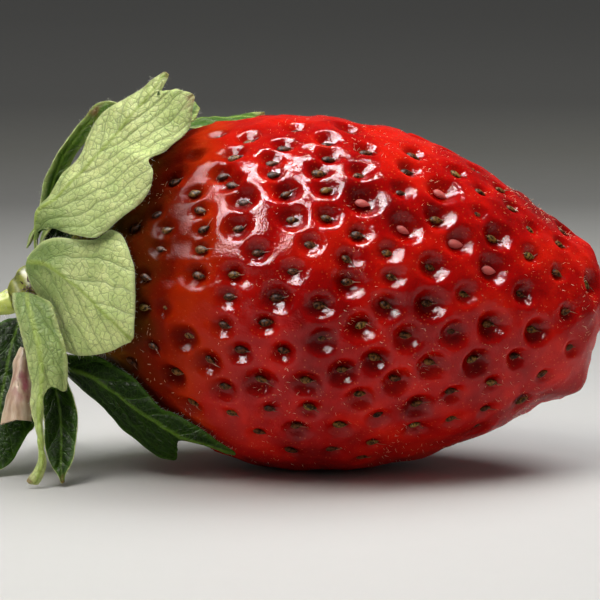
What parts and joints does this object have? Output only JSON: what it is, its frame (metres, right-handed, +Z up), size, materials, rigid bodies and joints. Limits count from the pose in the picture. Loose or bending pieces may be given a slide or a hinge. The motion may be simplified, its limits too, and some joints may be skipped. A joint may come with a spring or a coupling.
{
  "type": "strawberry",
  "caption": "Ripe strawberry lying on its side as picked: long pointed fruit with a flat resting spot, irregular leafy cap, a dried petal and a cut length of stalk.",
  "frame": {"origin": "on the flat resting spot pressed into the fruit's underside, under the middle of the fruit", "axes": "+X towards the fruit's pointed tip (the stalk is at -X), +Z up, and the leafiest side of the cap faces -Y"},
  "size_m": [0.0737, 0.0353, 0.0399],
  "materials": {
    "fruit_skin": null,
    "leaf": null,
    "dried_petal": "dry matt petal, cream with pink streaks",
    "calyx_cup": null,
    "stalk": null
  },
  "bodies": {
    "root": {"fruit": "fruit_skin", "sepal_upper": "leaf", "sepal_front": "leaf", "sepal_hanging": "leaf", "sepal_drooping": "leaf", "sepal_turned_back": "leaf", "sepal_under_front": "leaf", "sepal_over_top": "leaf", "bract_upper": "leaf", "bract_upright": "leaf", "sepal_back": "leaf", "sepal_back_hanging": "leaf", "sepal_under_back": "leaf", "dried_petal": "dried_petal", "calyx_cup": "calyx_cup", "stalk": "stalk"}
  },
  "joints": []
}
